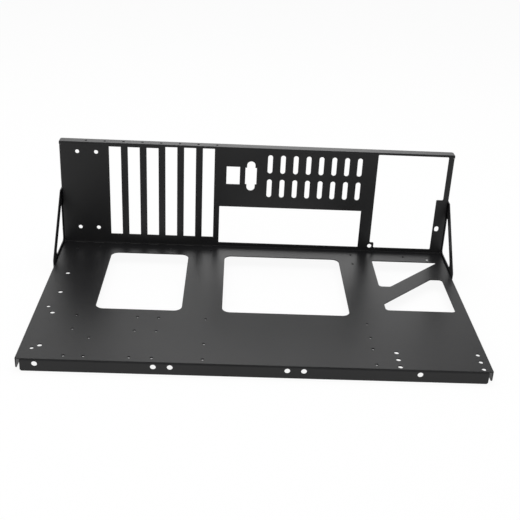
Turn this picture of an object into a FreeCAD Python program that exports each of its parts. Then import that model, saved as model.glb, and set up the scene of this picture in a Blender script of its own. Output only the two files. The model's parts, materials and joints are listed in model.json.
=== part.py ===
import FreeCAD, Part
import math
import os

import Sketcher

# Motherboard tray: one folded steel sheet and two gussets.
# Frame: +X to the right as seen from the open front, +Y to the back panel, +Z up.
# The origin is at the middle of the footprint, on the surface that the flanges stand on.
# All sizes are millimetres.

# Each driving size: its alias in the sheet, its value, and what it is.
DRIVING_SIZES = [
    ("tray_width", 430.0, "outside of the side flanges"),
    ("base_depth", 248.0, "front flange to the front face of the back panel"),
    ("panel_rise", 118.0, "base top to the top of the back panel"),
    ("base_drop", 12.0, "height of the base flanges, which the tray stands on"),
    ("panel_back", 12.0, "depth of the back panel's flanges"),
    ("gauge", 1.0, "sheet thickness"),
    ("bend_inside", 0.8, "inside radius of every fold"),
    ("corner_gap", 4.8, "each end of the front flange, in from the side"),
    ("side_gap", 4.0, "front end of the side flanges, back from the front"),
    ("fold_relief", 1.9, "flange ends beside the base-to-panel fold and the top fold"),
    ("flange_corner", 2.0, "radius of the free flange corners"),
    # Board fixing holes, on the grid that boards of this size share.
    ("board_right", 109.2, "column beside the input-output opening, right of the tray's middle"),
    ("board_middle", 157.48, "second column, left of the first"),
    ("board_small", 203.2, "column for the shorter boards"),
    ("board_left", 281.94, "last column"),
    ("board_rear", 12.27, "rear row, in front of the panel"),
    ("row_second", 22.86, "rows in front of the rear one"),
    ("row_middle", 154.94, ""),
    ("row_extra", 180.34, ""),
    ("row_inner", 200.66, ""),
    ("row_front", 227.33, ""),
    ("column_spare", 223.52, "spare columns for other boards"),
    ("column_edge", 264.16, ""),
    ("row_edge", 195.58, ""),
    ("tapped_bore", 2.9, "tapped hole"),
    # Windows in the base, measured forward from the panel.
    ("window_rear", 24.4, "rear edge of all the windows"),
    ("window_front", 152.2, "front edge of the two large windows"),
    ("window_corner", 8.0, "corner radius of the large windows"),
    ("left_window_middle", 224.5, "centre of the left window, left of that column"),
    ("left_window_wide", 84.7, ""),
    ("board_window_middle", 78.6, "centre of the window behind the board, left of that column"),
    ("board_window_wide", 127.0, ""),
    ("supply_window_in", 12.4, "right edge of the window under the power supply, in from the side"),
    ("supply_window_wide", 70.8, "its width; a rib crosses it"),
    ("supply_window_front", 138.0, ""),
    ("supply_window_corner", 3.6, "its corner radius"),
    ("rib_width", 18.5, "the diagonal rib, at 45 degrees"),
    ("rib_tip_in", 9.1, "where the rib's rear side meets the rear edge, in from the side"),
    ("rib_tip_corner", 1.6, "radius of that sharp corner"),
    ("rib_foot_front", 86.5, "front end of the rear window"),
    ("rib_foot_rear", 66.5, "rear end of the front window"),
    # Other holes in the base.
    ("drive_in", 18.0, "column of holes, in from the left side"),
    ("drive_middle", 120.8, "middle hole, in front of the panel"),
    ("drive_near", 42.2, "next holes, each side of the middle"),
    ("drive_far", 102.5, "outer holes, each side of the middle; the rear one is tapped"),
    ("drive_bore", 4.7, ""),
    ("pin_in", 11.9, "two smaller holes, in from the left side"),
    ("pin_rear", 151.0, ""),
    ("pin_front", 228.4, ""),
    ("pin_bore", 3.9, ""),
    ("supply_foot_in", 8.5, "two columns in front of the power supply, in from the right side"),
    ("supply_foot_across", 76.2, ""),
    ("supply_foot_front", 242.2, "front row"),
    ("supply_foot_pitch", 12.0, "step between its three rows"),
    ("supply_foot_bore", 4.6, ""),
    ("strip_tapped_in", 46.3, "tapped hole behind the power-supply window, in from the side"),
    ("strip_tapped_reach", 13.0, ""),
    ("strip_plain_in", 19.7, "plain hole beside it"),
    ("strip_plain_reach", 17.6, ""),
    ("strip_plain_bore", 3.6, ""),
    # Three fans of 120 stand in front of the base on their lower holes.
    ("fan_size", 120.0, "pitch of the fans"),
    ("fan_holes", 105.0, "hole spacing of a fan"),
    ("fan_middle", -24.6, "centre of the middle fan"),
    ("fan_hole_rise", 7.5, "lower holes above the fan's underside"),
    ("fan_bore", 5.2, ""),
    # Expansion slots in the back panel.
    ("slot_pitch", 20.32, ""),
    ("slot_run", 3, "slots in each of the two runs"),
    ("slot_places", 8, "slot positions, the two blank ones too"),
    ("slot_first", 162.7, "slot next to the input-output opening, left of the board's right column"),
    ("slot_wide", 12.9, ""),
    ("slot_foot", 11.1, "lower end above the base"),
    ("slot_head_low", 114.2, "upper end of the outer three"),
    ("slot_head_high", 115.9, "upper end of the inner three"),
    ("tail_wide", 11.0, "slit at the panel's foot for a bracket's tail"),
    ("tail_reach", 1.7, "slit forward of the panel's front face"),
    ("screw_offset", 8.8, "bracket screw, right of the slot's centre"),
    ("screw_back", 6.4, "bracket screw behind the panel's front face"),
    ("blank_low", 18.2, "holes of the two blank positions, above the base"),
    ("blank_high", 107.3, ""),
    ("blank_bore", 4.4, ""),
    # Openings for connectors, air and the power supply.
    ("port_wide", 158.75, "input-output opening"),
    ("port_tall", 44.45, ""),
    ("port_margin", 8.9, "its right edge, right of the board's right column"),
    ("port_sill", 4.7, "its lower edge above the base"),
    ("jack_middle", 135.6, "upright rectangular cut-out, left of the board's right column"),
    ("jack_wide", 14.6, ""),
    ("jack_tall", 20.6, ""),
    ("jack_height", 86.0, "centre of both small cut-outs above the base"),
    ("serial_middle", 116.1, "upright cut-out for a serial port, left of that column"),
    ("serial_wide", 12.4, ""),
    ("serial_tall", 19.4, ""),
    ("serial_screws", 25.0, "spacing of its two screw ends"),
    ("serial_end", 4.5, "half the width of its rounded ends"),
    ("serial_flat", 0.2, "how much less their corner radius is"),
    ("vent_first", 95.5, "first column of vents, left of the board's right column"),
    ("vent_pitch", 14.03, ""),
    ("vent_wide", 5.3, ""),
    ("vent_tall", 21.2, ""),
    ("vent_low", 72.4, "centre of the lower row above the base"),
    ("vent_row_pitch", 28.0, "step between the rows"),
    ("vent_columns", 8, ""),
    ("supply_wide", 77.2, "power-supply opening"),
    ("supply_post", 6.4, "post at its right side"),
    ("supply_step", 13.9, "wider foot of that post"),
    ("supply_step_top", 65.4, "top of that foot above the base"),
    ("supply_head", 116.0, "upper edge of the opening"),
    ("supply_sill", 4.7, "lower edge of the opening"),
    ("supply_corner", 1.2, ""),
    ("supply_screw_in", 9.5, "right one of the power supply's lower screw holes, in from the side"),
    ("supply_screw_across", 74.0, "left one, further in"),
    ("supply_screw_low", 6.5, "left one, above the base"),
    ("supply_screw_up", 24.0, "right one, above the left one"),
    ("supply_screw_bore", 4.8, ""),
    ("supply_screw_long", 6.4, "the right hole is a short upright slot"),
    ("supply_ear", 4.6, "ear round the left hole, past the opening's edge"),
    ("supply_ear_top", 11.0, "top of the ear above the base"),
    # Gussets, measured from the panel's front face and the base's top.
    ("gusset_gauge", 1.0, "plate thickness"),
    ("gusset_rise", 63.0, "top edge above the base"),
    ("gusset_top", 3.5, "length of the top edge in front of the panel"),
    ("gusset_reach", 59.5, "front end, forward of the panel"),
    ("gusset_nose", 4.0, "height of the front end above the base"),
    ("gusset_lap", 10.4, "overlap on the panel's and base's flanges"),
    ("gusset_heel_front", 3.0, "sloped-off rear lower corner, forward of the panel"),
    ("gusset_heel_rise", 6.0, "the same corner above the base"),
    ("gusset_strip", 10.0, "width of the sloping side"),
    ("gusset_hole_back", 0.5, "rear edge of the hole, in front of the panel"),
    ("gusset_hole_foot", 2.0, "lower edge of the hole above the base"),
    ("gusset_corner", 2.0, "outer corner radius"),
    ("gusset_hole_corner", 4.0, "hole corner radius"),
]

doc = FreeCAD.newDocument("motherboard_tray")
sheet = doc.addObject("Spreadsheet::Sheet", "Sizes")


class Size:
    """A length: its value now and the expression that ties it to the sheet."""

    def __init__(self, value, text):
        self.value = value
        self.text = text

    def joined(self, other, sign, value):
        """A new size from this one, a sign and another size or number."""
        return Size(value, f"({self.text} {sign} {as_size(other).text})")

    def __add__(self, other):
        return self.joined(other, "+", self.value + as_size(other).value)

    def __sub__(self, other):
        return self.joined(other, "-", self.value - as_size(other).value)

    def __mul__(self, other):
        return self.joined(other, "*", self.value * as_size(other).value)

    def __truediv__(self, other):
        return self.joined(other, "/", self.value / as_size(other).value)

    def __neg__(self):
        return Size(-self.value, f"(0 - {self.text})")

    def root(self):
        """The square root."""
        return Size(math.sqrt(self.value), f"sqrt({self.text})")


def as_size(number):
    """A plain number as a size."""
    return number if isinstance(number, Size) else Size(float(number), repr(float(number)))


def fill_sheet():
    """Writes the driving sizes to the sheet, with their aliases and notes."""
    for row, (alias, value, note) in enumerate(DRIVING_SIZES, 1):
        sheet.set(f"A{row}", alias)
        sheet.set(f"B{row}", str(value))
        sheet.setAlias(f"B{row}", alias)
        sheet.set(f"C{row}", note)
    doc.recompute()


def size(alias):
    """A driving size, as it stands in the sheet."""
    return Size(float(sheet.get(alias)), f"Sizes.{alias}")


fill_sheet()

# Planes that several sub-parts share.
GAUGE = size("gauge")
FOLD_IN = size("bend_inside")
FOLD_OUT = FOLD_IN + GAUGE
HALF_WIDTH = size("tray_width") / 2
FLAT_HALF = HALF_WIDTH - FOLD_OUT
DEPTH = size("base_depth") + size("panel_back")
FRONT = -(DEPTH / 2)
BACK = DEPTH / 2
PANEL = BACK - size("panel_back")
FLOOR = size("base_drop")
UNDER = FLOOR - GAUGE
TOP = FLOOR + size("panel_rise")
BOARD = size("board_right")


def board_left(alias):
    """X of a place that is measured left from the board's right column."""
    return BOARD - size(alias)


def from_right(alias):
    """X of a place that is measured in from the tray's right side."""
    return HALF_WIDTH - size(alias)


def forward(alias):
    """Y of a place that is measured forward from the panel's front face."""
    return PANEL - size(alias)


def above(alias):
    """Z of a place that is measured up from the base's top."""
    return FLOOR + size(alias)


def make_body(label):
    """An empty body for one sub-part."""
    body = doc.addObject("PartDesign::Body", label)
    body.Label = label
    return body


def origin_item(body, role):
    """One of the body's own origin planes or axes."""
    return next(f for f in body.Origin.OriginFeatures if f.Role == role)


class Drawing:
    """A sketch whose shapes stand at their places, held by constraints that follow the sheet."""

    def __init__(self, body, name, role, lift=None):
        """An empty sketch on an origin plane, lifted along the plane's normal."""
        self.sketch = body.newObject("Sketcher::SketchObject", name)
        self.sketch.AttachmentSupport = [(origin_item(body, role), "")]
        self.sketch.MapMode = "FlatFace"
        self.rules = []
        if lift is not None:
            self.sketch.setExpression("AttachmentOffset.Base.z", lift.text)

    def finish(self):
        """Adds all the constraints together, then ties the dimensions to the sheet."""
        indices = self.sketch.addConstraint([rule for rule, _ in self.rules])
        for index, (_, text) in zip(indices, self.rules):
            if text:
                self.sketch.setExpression(f"Constraints[{index}]", text)
        return self.sketch

    def add(self, shape, construction=False):
        """Adds one shape and gives its number."""
        return self.sketch.addGeometry(shape, construction)

    def relate(self, kind, *places):
        """A constraint with no dimension."""
        self.rules.append((Sketcher.Constraint(kind, *places), None))

    def hold(self, kind, places, length):
        """A dimension that follows the sheet."""
        self.rules.append((Sketcher.Constraint(kind, *places, length.value), length.text))

    def hold_point(self, shape, point, x, y):
        """Holds a point of a shape at x, y from the sketch's origin."""
        self.hold("DistanceX", (-1, 1, shape, point), x)
        self.hold("DistanceY", (-1, 1, shape, point), y)

    def arc(self, centre, radius, begin, finish):
        """An arc, anticlockwise from one angle to another."""
        circle = Part.Circle(centre, FreeCAD.Vector(0, 0, 1), radius)
        return self.add(Part.ArcOfCircle(circle, begin, finish))

    def circle(self, x, y, diameter):
        """A round hole or boss."""
        centre = FreeCAD.Vector(x.value, y.value, 0)
        shape = self.add(Part.Circle(centre, FreeCAD.Vector(0, 0, 1), diameter.value / 2))
        self.hold_point(shape, 3, x, y)
        self.hold("Diameter", (shape,), diameter)

    def outline(self, corners):
        """A closed outline through corners (x, y, radius); a corner whose radius is None stays sharp."""
        points = [FreeCAD.Vector(x.value, y.value, 0) for x, y, _ in corners]
        radii = [radius for _, _, radius in corners]
        count = len(corners)
        coming = [(points[i] - points[i - 1]).normalize() for i in range(count)]
        going = [coming[(i + 1) % count] for i in range(count)]
        trims = []
        for i in range(count):
            half_turn = coming[i].getAngle(going[i]) / 2
            trims.append(radii[i].value * math.tan(half_turn) if radii[i] else 0.0)
        sides = []
        for i in range(count):
            after = (i + 1) % count
            start = points[i] + going[i] * trims[i]
            end = points[after] - coming[after] * trims[after]
            sides.append(self.add(Part.LineSegment(start, end)))
        for i, (x, y, radius) in enumerate(corners):
            mark = self.add(Part.Point(points[i]), True)
            self.hold_point(mark, 1, x, y)
            before, side = sides[i - 1], sides[i]
            if radius is None:
                self.relate("Coincident", before, 2, mark, 1)
                self.relate("Coincident", side, 1, mark, 1)
                continue
            self.relate("PointOnObject", mark, 1, before)
            self.relate("PointOnObject", mark, 1, side)
            begin = points[i] - coming[i] * trims[i]
            finish = points[i] + going[i] * trims[i]
            self.corner_arc(before, side, begin, finish, coming[i], going[i], radius)

    def corner_arc(self, before, side, begin, finish, coming, going, radius):
        """The tangent arc between two sides of an outline."""
        left_turn = coming.cross(going).z > 0
        inward = FreeCAD.Vector(-coming.y, coming.x, 0) * (1 if left_turn else -1)
        centre = begin + inward * radius.value
        first, last = (begin, finish) if left_turn else (finish, begin)
        first_end, last_end = (1, 2) if left_turn else (2, 1)
        angles = [math.atan2(p.y - centre.y, p.x - centre.x) for p in (first, last)]
        arc = self.arc(centre, radius.value, *angles)
        self.relate("Tangent", before, 2, arc, first_end)
        self.relate("Tangent", arc, last_end, side, 1)
        self.hold("Radius", (arc,), radius)

    def window(self, left, right, low, high, corner=None):
        """A rectangular cut-out, with rounded corners where a radius is given."""
        self.outline([
            (left, low, corner),
            (right, low, corner),
            (right, high, corner),
            (left, high, corner),
        ])

    def obround(self, x, y, wide, tall):
        """An upright slot with round ends."""
        half_wide = wide / 2
        rise = tall / 2 - half_wide
        up, down = y + rise, y - rise
        tops = [FreeCAD.Vector((x + side).value, up.value, 0) for side in (-half_wide, half_wide)]
        bottoms = [FreeCAD.Vector((x + side).value, down.value, 0) for side in (-half_wide, half_wide)]
        upper = self.arc(FreeCAD.Vector(x.value, up.value, 0), half_wide.value, 0.0, math.pi)
        lower = self.arc(FreeCAD.Vector(x.value, down.value, 0), half_wide.value, math.pi, 2 * math.pi)
        left = self.add(Part.LineSegment(tops[0], bottoms[0]))
        right = self.add(Part.LineSegment(bottoms[1], tops[1]))
        self.hold_point(upper, 3, x, up)
        self.hold_point(lower, 3, x, down)
        self.relate("Tangent", upper, 2, left, 1)
        self.relate("Tangent", left, 2, lower, 1)
        self.relate("Tangent", lower, 2, right, 1)
        self.relate("Tangent", right, 2, upper, 1)
        self.hold("Radius", (upper,), half_wide)


def make_pad(body, drawing, name, length, symmetric=False, reverse=False):
    """Adds the drawing's section to the body."""
    pad = body.newObject("PartDesign::Pad", name)
    pad.Profile = drawing.finish()
    pad.setExpression("Length", length.text)
    pad.SideType = "Symmetric" if symmetric else "One side"
    pad.Reversed = reverse
    doc.recompute()
    return pad


def make_pocket(body, drawing, name, depth):
    """Cuts the drawing's outlines into the body, and makes sure that metal came off."""
    before = body.Shape.Volume
    pocket = body.newObject("PartDesign::Pocket", name)
    pocket.Profile = drawing.finish()
    pocket.setExpression("Length", depth.text)
    doc.recompute()
    if body.Shape.Volume >= before:
        raise RuntimeError(f"{name} cuts nothing")
    return pocket


def make_mirror(body, feature, name):
    """Repeats a feature on the other side of the tray's middle plane."""
    mirror = body.newObject("PartDesign::Mirrored", name)
    mirror.Originals = [feature]
    mirror.MirrorPlane = (origin_item(body, "YZ_Plane"), [""])
    body.Tip = mirror
    doc.recompute()
    return mirror


def make_row(body, feature, name, pitch, count, leftward=False):
    """Repeats a feature along X, to the right or to the left."""
    row = body.newObject("PartDesign::LinearPattern", name)
    row.Originals = [feature]
    row.Direction = (origin_item(body, "X_Axis"), [""])
    row.Reversed = leftward
    row.Mode = "Spacing"
    row.setExpression("Offset", pitch.text)
    row.setExpression("Occurrences", count.text)
    body.Tip = row
    doc.recompute()
    return row


def folded_edge(edge_flat, edge_face, far, flat_top, flat_under):
    """Corners of a flange section: flat sheet, outside fold, leg to its free end, and back inside.

    edge_flat is where the fold starts, edge_face the outside of the leg and far the leg's free end.
    The sheet's two faces are flat_top, on the outside of the fold, and flat_under. The section starts one
    gauge inside the flat sheet.
    """
    toward = 1 if edge_face.value > edge_flat.value else -1
    inside_face = edge_face - GAUGE * toward
    root = edge_flat - GAUGE * toward
    return [
        (root, flat_top, None),
        (edge_face, flat_top, FOLD_OUT),
        (edge_face, far, None),
        (inside_face, far, None),
        (inside_face, flat_under, FOLD_IN),
        (root, flat_under, None),
    ]


# Tray sheet.


def fold_sheet(body):
    """The base and the back panel from one section, then the flanges along their edges."""
    section = Drawing(body, "long_section", "YZ_Plane")
    fold_start = FRONT + FOLD_OUT
    fold_head = TOP - FOLD_OUT
    section.outline([
        (fold_start, FLOOR, None),
        (PANEL, FLOOR, FOLD_IN),
        (PANEL, fold_head, None),
        (PANEL + GAUGE, fold_head, None),
        (PANEL + GAUGE, UNDER, FOLD_OUT),
        (fold_start, UNDER, None),
    ])
    make_pad(body, section, "base_and_panel", FLAT_HALF * 2, symmetric=True)

    top = Drawing(body, "top_section", "YZ_Plane")
    top.outline([(y, z, radius) for z, y, radius in folded_edge(fold_head, TOP, BACK, PANEL, PANEL + GAUGE)])
    make_pad(body, top, "top_flange", HALF_WIDTH * 2, symmetric=True)

    ground = as_size(0)
    front = Drawing(body, "front_section", "YZ_Plane")
    front.outline(folded_edge(fold_start, FRONT, ground, FLOOR, UNDER))
    make_pad(body, front, "front_flange", (HALF_WIDTH - size("corner_gap")) * 2, symmetric=True)

    side_rear = PANEL - size("fold_relief")
    side_front = FRONT + size("side_gap")
    side = Drawing(body, "side_section", "XZ_Plane", -side_rear)
    side.outline(folded_edge(FLAT_HALF, HALF_WIDTH, ground, FLOOR, UNDER))
    make_mirror(body, make_pad(body, side, "side_flange", side_rear - side_front), "side_flange_pair")

    panel_low = FLOOR + size("fold_relief")
    panel_high = fold_head - size("fold_relief")
    edge = Drawing(body, "panel_section", "XY_Plane", panel_low)
    edge.outline(folded_edge(FLAT_HALF, HALF_WIDTH, BACK, PANEL, PANEL + GAUGE))
    make_mirror(body, make_pad(body, edge, "panel_flange", panel_high - panel_low), "panel_flange_pair")


def round_flange_corners(body):
    """Rounds the free corners of every flange, where the sheet's cut edge is one gauge long."""
    near = 1e-4
    names = []
    for number, edge in enumerate(body.Shape.Edges, 1):
        middle = edge.CenterOfMass
        free_end = abs(middle.z) < near or abs(middle.y - BACK.value) < near
        if free_end and abs(edge.Length - GAUGE.value) < near:
            names.append(f"Edge{number}")
    sharp = body.Tip
    fillet = body.newObject("PartDesign::Fillet", "flange_corners")
    fillet.Base = (sharp, names)
    fillet.setExpression("Radius", size("flange_corner").text)
    body.Tip = fillet
    doc.recompute()


def tapped_places():
    """Places of the tapped board holes, then of one on the power-supply strip and one at the left."""
    rear = forward("board_rear")
    middle = board_left("board_middle")
    small = board_left("board_small")
    left = board_left("board_left")
    spare = board_left("column_spare")
    edge = board_left("column_edge")
    second, mid_row, extra, inner, front, edge_row = [
        rear - size(row)
        for row in ("row_second", "row_middle", "row_extra", "row_inner", "row_front", "row_edge")
    ]
    columns = [
        (BOARD, (rear, second, mid_row, extra, inner, front)),
        (middle, (rear, mid_row, inner, front)),
        (small, (rear, mid_row, extra, front)),
        (left, (rear, mid_row, extra, front)),
        (spare, (mid_row, extra, front)),
        (edge, (edge_row, front)),
    ]
    places = [(x, y) for x, rows in columns for y in rows]
    places.append((from_right("strip_tapped_in"), forward("strip_tapped_reach")))
    places.append((size("drive_in") - HALF_WIDTH, forward("drive_middle") + size("drive_far")))
    return places


def plain_holes():
    """The clearance holes of the base, as x, y and diameter."""
    drive = size("drive_in") - HALF_WIDTH
    pin = size("pin_in") - HALF_WIDTH
    middle = forward("drive_middle")
    near, far = size("drive_near"), size("drive_far")
    rows = (middle - far, middle - near, middle, middle + near)
    holes = [(drive, y, size("drive_bore")) for y in rows]
    holes += [(pin, forward(reach), size("pin_bore")) for reach in ("pin_rear", "pin_front")]
    first = forward("supply_foot_front")
    foot = from_right("supply_foot_in")
    for x in (foot - size("supply_foot_across"), foot):
        for step in range(3):
            holes.append((x, first + size("supply_foot_pitch") * step, size("supply_foot_bore")))
    holes.append((from_right("strip_plain_in"), forward("strip_plain_reach"), size("strip_plain_bore")))
    return holes


def cut_base(body):
    """Windows, plain holes and tapped holes of the base."""
    rear, front = forward("window_rear"), forward("window_front")
    for name in ("left_window", "board_window"):
        window = Drawing(body, name, "XY_Plane", FLOOR)
        middle = board_left(f"{name}_middle")
        half = size(f"{name}_wide") / 2
        window.window(middle - half, middle + half, front, rear, size("window_corner"))
        make_pocket(body, window, f"{name}_cut", GAUGE)
    cut_supply_window(body)

    plain = Drawing(body, "base_holes", "XY_Plane", FLOOR)
    for x, y, bore in plain_holes():
        plain.circle(x, y, bore)
    make_pocket(body, plain, "base_hole_cuts", GAUGE)

    tapped = Drawing(body, "tapped_holes", "XY_Plane", FLOOR)
    for x, y in tapped_places():
        tapped.circle(x, y, size("tapped_bore"))
    make_pocket(body, tapped, "tapped_hole_cuts", GAUGE)


def cut_supply_window(body):
    """The two windows that leave a diagonal rib under the power supply."""
    right = from_right("supply_window_in")
    left = right - size("supply_window_wide")
    rear, front = forward("window_rear"), forward("supply_window_front")
    corner, tip_corner = size("supply_window_corner"), size("rib_tip_corner")
    rear_foot, front_head = forward("rib_foot_front"), forward("rib_foot_rear")
    tip = from_right("rib_tip_in")
    shift = size("rib_width") * as_size(2).root()
    windows = Drawing(body, "supply_windows", "XY_Plane", FLOOR)
    windows.outline([
        (left, rear, tip_corner),
        (left, rear_foot, corner),
        (tip - rear + rear_foot, rear_foot, corner),
        (tip, rear, tip_corner),
    ])
    windows.outline([
        (left, front, corner),
        (right, front, corner),
        (right, front_head, corner),
        (tip - rear + front_head + shift, front_head, corner),
        (left, left - tip + rear - shift, corner),
    ])
    make_pocket(body, windows, "supply_window_cuts", GAUGE)


def slot_middle(step):
    """Centre of a slot position, counted to the left from the input-output opening."""
    return board_left("slot_first") - size("slot_pitch") * step


def panel_drawing(body, name):
    """An empty drawing on the front face of the back panel; its cuts go to the rear."""
    return Drawing(body, name, "XZ_Plane", -PANEL)


def cut_slots(body):
    """Two runs of open expansion slots, and the screw holes of the blank positions left of them."""
    half, run, places = size("slot_wide") / 2, size("slot_run"), size("slot_places")
    for name, first in (("slot_head_high", 0), ("slot_head_low", run)):
        slot = panel_drawing(body, name)
        middle = slot_middle(first)
        slot.window(middle - half, middle + half, above("slot_foot"), above(name))
        cut = make_pocket(body, slot, f"{name}_cut", GAUGE)
        make_row(body, cut, f"{name}_run", size("slot_pitch"), run, leftward=True)

    blanks = panel_drawing(body, "blank_holes")
    for step in (places - 2, places - 1):
        for height in ("blank_low", "blank_high"):
            blanks.circle(slot_middle(step), above(height), size("blank_bore"))
    make_pocket(body, blanks, "blank_hole_cuts", GAUGE)


def cut_ports(body):
    """The input-output opening, the rectangular cut-out and the serial-port cut-out."""
    port = panel_drawing(body, "port_opening")
    sill, right = above("port_sill"), BOARD + size("port_margin")
    port.window(right - size("port_wide"), right, sill, sill + size("port_tall"))
    make_pocket(body, port, "port_opening_cut", GAUGE)

    height = above("jack_height")
    middle, wide, tall = board_left("jack_middle"), size("jack_wide") / 2, size("jack_tall") / 2
    jack = panel_drawing(body, "jack_opening")
    jack.window(middle - wide, middle + wide, height - tall, height + tall)
    make_pocket(body, jack, "jack_opening_cut", GAUGE)

    middle, end = board_left("serial_middle"), size("serial_end")
    wide, tall = size("serial_wide") / 2, size("serial_tall") / 2
    reach = size("serial_screws") / 2 + end
    rounding = end - size("serial_flat")
    serial = panel_drawing(body, "serial_opening")
    serial.outline([
        (middle - end, height - reach, rounding),
        (middle + end, height - reach, rounding),
        (middle + end, height - tall, None),
        (middle + wide, height - tall, None),
        (middle + wide, height + tall, None),
        (middle + end, height + tall, None),
        (middle + end, height + reach, rounding),
        (middle - end, height + reach, rounding),
        (middle - end, height + tall, None),
        (middle - wide, height + tall, None),
        (middle - wide, height - tall, None),
        (middle - end, height - tall, None),
    ])
    make_pocket(body, serial, "serial_opening_cut", GAUGE)


def cut_vents(body):
    """Two rows of upright vent slots."""
    vent = panel_drawing(body, "vent")
    low = above("vent_low")
    for height in (low, low + size("vent_row_pitch")):
        vent.obround(board_left("vent_first"), height, size("vent_wide"), size("vent_tall"))
    cut = make_pocket(body, vent, "vent_cut", GAUGE)
    make_row(body, cut, "vent_rows", size("vent_pitch"), size("vent_columns"))


def cut_supply_opening(body):
    """The power-supply opening, with an ear at its left foot, a step at its right and two screw holes."""
    right, sill, head = from_right("supply_post"), above("supply_sill"), above("supply_head")
    left = right - size("supply_wide")
    step, step_top = from_right("supply_step"), above("supply_step_top")
    ear_right, ear_top = left + size("supply_ear"), above("supply_ear_top")
    corner = size("supply_corner")
    opening = panel_drawing(body, "supply_opening")
    opening.outline([
        (ear_right, sill, corner),
        (step, sill, corner),
        (step, step_top, corner),
        (right, step_top, corner),
        (right, head, corner),
        (left, head, corner),
        (left, ear_top, corner),
        (ear_right, ear_top, corner),
    ])
    make_pocket(body, opening, "supply_opening_cut", GAUGE)

    screws = panel_drawing(body, "supply_screws")
    screw_x, screw_z = from_right("supply_screw_in"), above("supply_screw_low")
    bore = size("supply_screw_bore")
    screws.circle(screw_x - size("supply_screw_across"), screw_z, bore)
    screws.obround(screw_x, screw_z + size("supply_screw_up"), bore, size("supply_screw_long"))
    make_pocket(body, screws, "supply_screw_cuts", GAUGE)


def cut_flanges(body):
    """Bracket screws in the top flange, tail slits at the panel's foot and fan holes."""
    places = size("slot_places")
    screw = Drawing(body, "bracket_screw", "XY_Plane", TOP)
    screw_x = slot_middle(0) + size("screw_offset")
    screw.circle(screw_x, PANEL + size("screw_back"), size("tapped_bore"))
    screw_cut = make_pocket(body, screw, "bracket_screw_cut", GAUGE)
    make_row(body, screw_cut, "bracket_screw_run", size("slot_pitch"), places, leftward=True)

    slit = Drawing(body, "tail_slit", "XY_Plane", FLOOR + FOLD_IN)
    middle, half = slot_middle(0), size("tail_wide") / 2
    slit.window(middle - half, middle + half, forward("tail_reach"), PANEL)
    slit_cut = make_pocket(body, slit, "tail_slit_cut", FOLD_OUT)
    make_row(body, slit_cut, "tail_slit_run", size("slot_pitch"), places, leftward=True)

    fans = Drawing(body, "fan_holes", "XZ_Plane", -FRONT)
    for fan in (-1, 0, 1):
        for side in (-1, 1):
            x = size("fan_middle") + size("fan_size") * fan + size("fan_holes") / 2 * side
            fans.circle(x, size("fan_hole_rise"), size("fan_bore"))
    make_pocket(body, fans, "fan_hole_cuts", GAUGE)


def make_tray():
    """The folded sheet with all its openings."""
    body = make_body("tray_sheet")
    fold_sheet(body)
    round_flange_corners(body)
    cut_base(body)
    cut_slots(body)
    cut_ports(body)
    cut_vents(body)
    cut_supply_opening(body)
    cut_flanges(body)
    return body


# Gussets.


def gusset_slope():
    """Rise of the sloping side for each millimetre back towards the panel."""
    rise = size("gusset_rise") - size("gusset_nose")
    return rise / (size("gusset_reach") - size("gusset_top"))


def make_gusset(label, side):
    """A triangular plate on the outer faces of the side flanges; side is 1 on the right, -1 on the left."""
    body = make_body(label)
    plate = Drawing(body, "plate", "YZ_Plane", HALF_WIDTH * side)
    lap, corner, hole_corner = size("gusset_lap"), size("gusset_corner"), size("gusset_hole_corner")
    top, nose = above("gusset_rise"), above("gusset_nose")
    front, crest = forward("gusset_reach"), forward("gusset_top")
    plate.outline([
        (PANEL + lap, top, corner),
        (crest, top, corner),
        (front, nose, corner),
        (front, FLOOR - lap, corner),
        (forward("gusset_heel_front"), FLOOR - lap, corner),
        (PANEL + lap, above("gusset_heel_rise"), corner),
    ])
    slope = gusset_slope()
    drop = size("gusset_strip") * (slope * slope + 1).root()
    hole_back, hole_foot = forward("gusset_hole_back"), above("gusset_hole_foot")
    hole_head = top - drop + slope * (size("gusset_top") - size("gusset_hole_back"))
    hole_front = hole_back - (hole_head - hole_foot) / slope
    plate.outline([
        (hole_back, hole_foot, hole_corner),
        (hole_back, hole_head, hole_corner),
        (hole_front, hole_foot, hole_corner),
    ])
    make_pad(body, plate, "plate_pad", size("gusset_gauge"), reverse=side < 0)
    return body


def check_document(parts):
    """Stops at any object that failed to build, or any sub-part without a sound solid."""
    for item in doc.Objects:
        if {"Invalid", "Error"} & set(item.State):
            raise RuntimeError(f"{item.Label} failed: {item.State}")
    for part in parts:
        if part.Shape.isNull() or not part.Shape.isValid() or not part.Shape.Solids:
            raise RuntimeError(f"{part.Label} has no sound solid")


def main():
    """Builds every sub-part and writes one STEP file for each."""
    parts = [make_tray()]
    for name, side in (("left", -1), ("right", 1)):
        parts.append(make_gusset(f"gusset_{name}", side))
    doc.recompute()
    check_document(parts)
    os.makedirs("parts", exist_ok=True)
    for part in parts:
        part.Shape.exportStep(f"parts/{part.Label}.step")
        box = part.Shape.BoundBox
        extent = f"{box.XLength:.2f} x {box.YLength:.2f} x {box.ZLength:.2f}"
        print(part.Label, len(part.Shape.Solids), extent, f"{part.Shape.Volume:.1f} mm3")


main()
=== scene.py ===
"""Motherboard tray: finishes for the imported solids, its rivets, threads and welds, and a studio stage."""

import json
import math

import bpy
from mathutils import Matrix, Vector


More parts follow.
